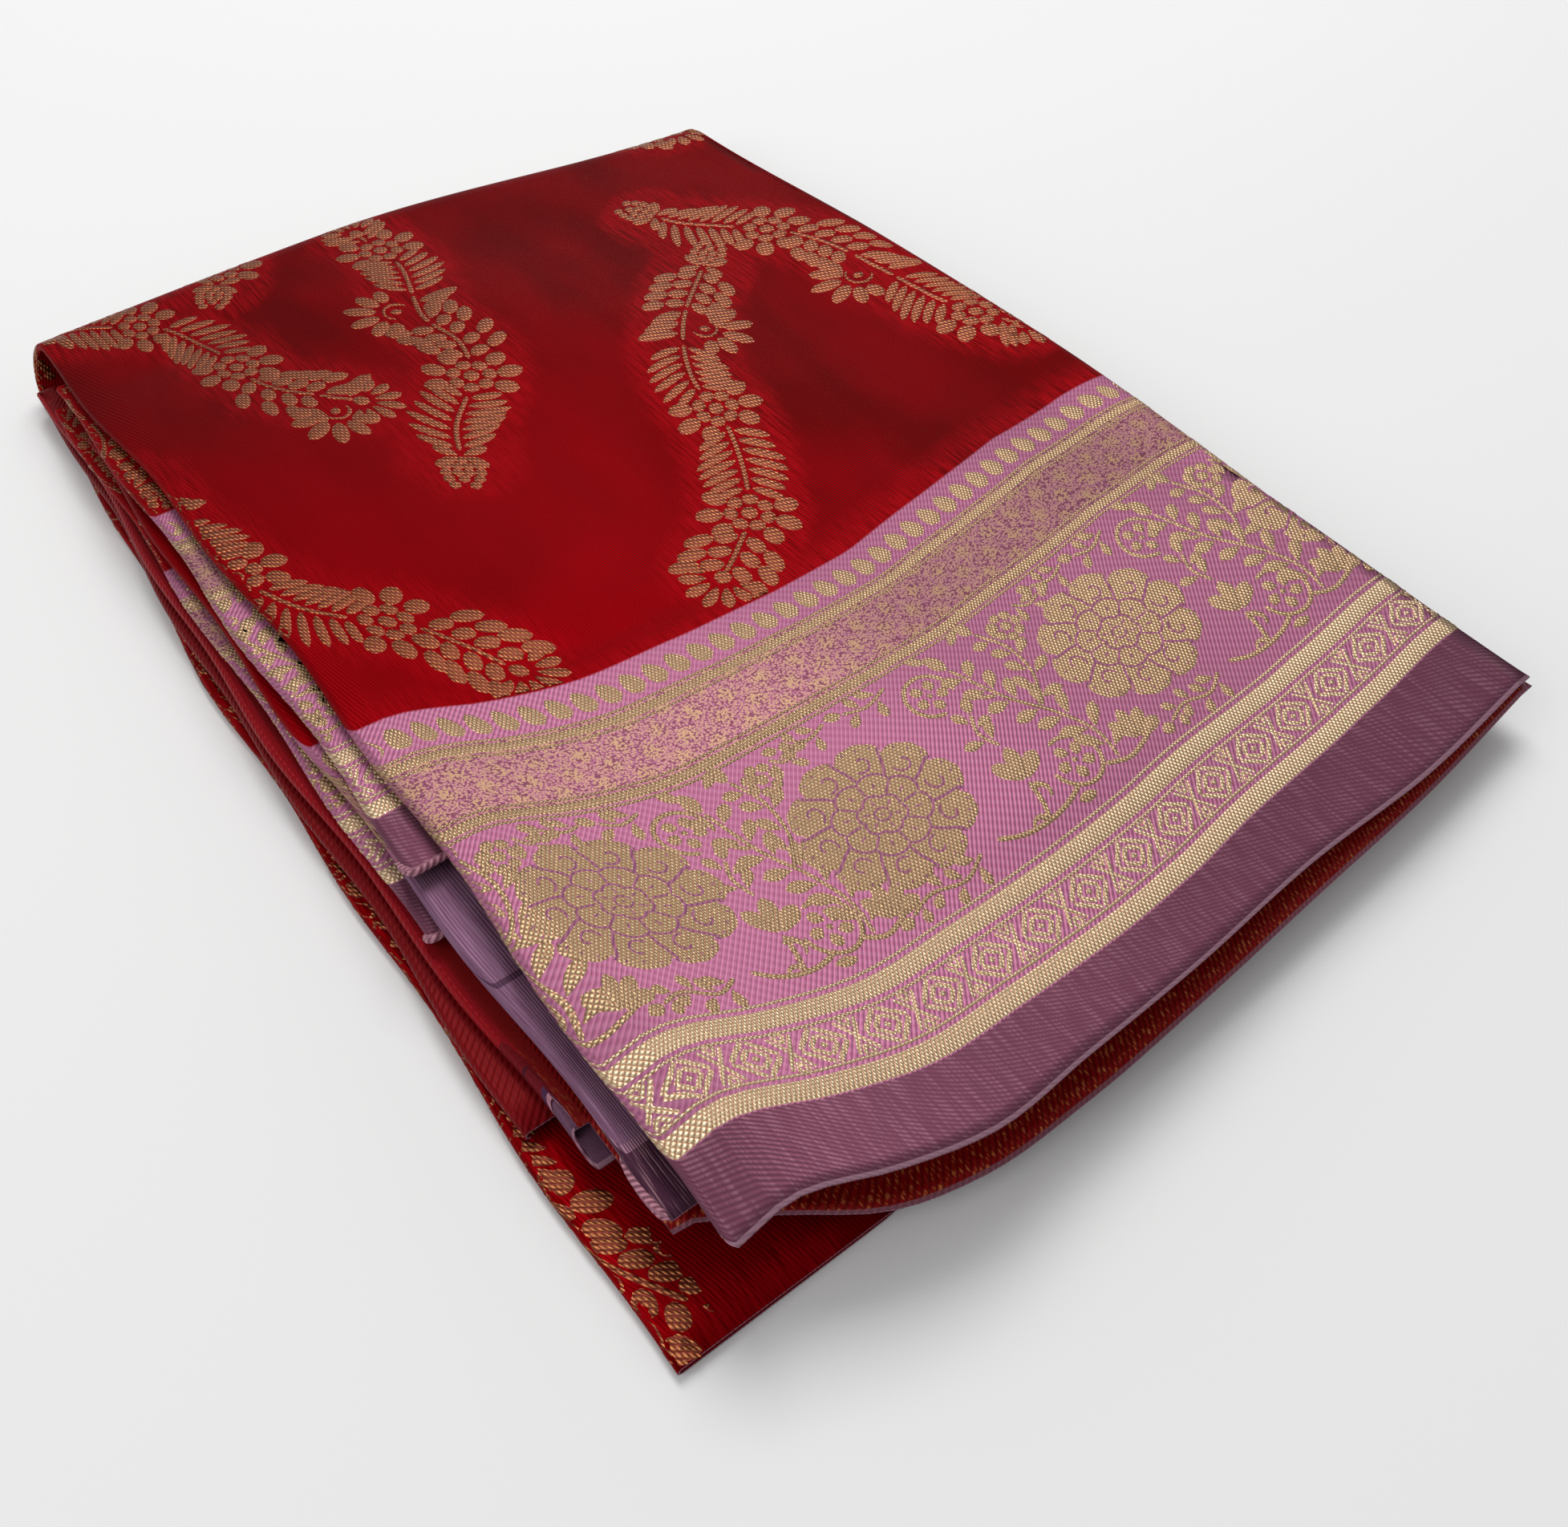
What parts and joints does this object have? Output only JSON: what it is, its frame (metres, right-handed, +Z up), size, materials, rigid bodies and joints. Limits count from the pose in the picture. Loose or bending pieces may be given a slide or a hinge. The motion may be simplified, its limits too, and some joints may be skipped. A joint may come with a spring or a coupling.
{
  "type": "folded silk sari",
  "caption": "Woven silk sari folded into a flat rectangular pack, pleated back and forth and turned over one end, with a broad floral border across the open end.",
  "frame": {"origin": "under the middle of the pack, on the plane of its resting face", "axes": "+X along the woven border, from the side with the stacked folds to the side with one loose fold; +Y from the open end with the selvedges to the far folded end; +Z up, away from the surface it lies on"},
  "size_m": [0.2354, 0.3289, 0.0252],
  "materials": {
    "crimson_silk": "soft satin sheen, crimson ground with woven gold motifs, a rose-pink border and a mauve selvedge"
  },
  "bodies": {
    "root": {"sari_cloth": "crimson_silk"}
  },
  "joints": []
}
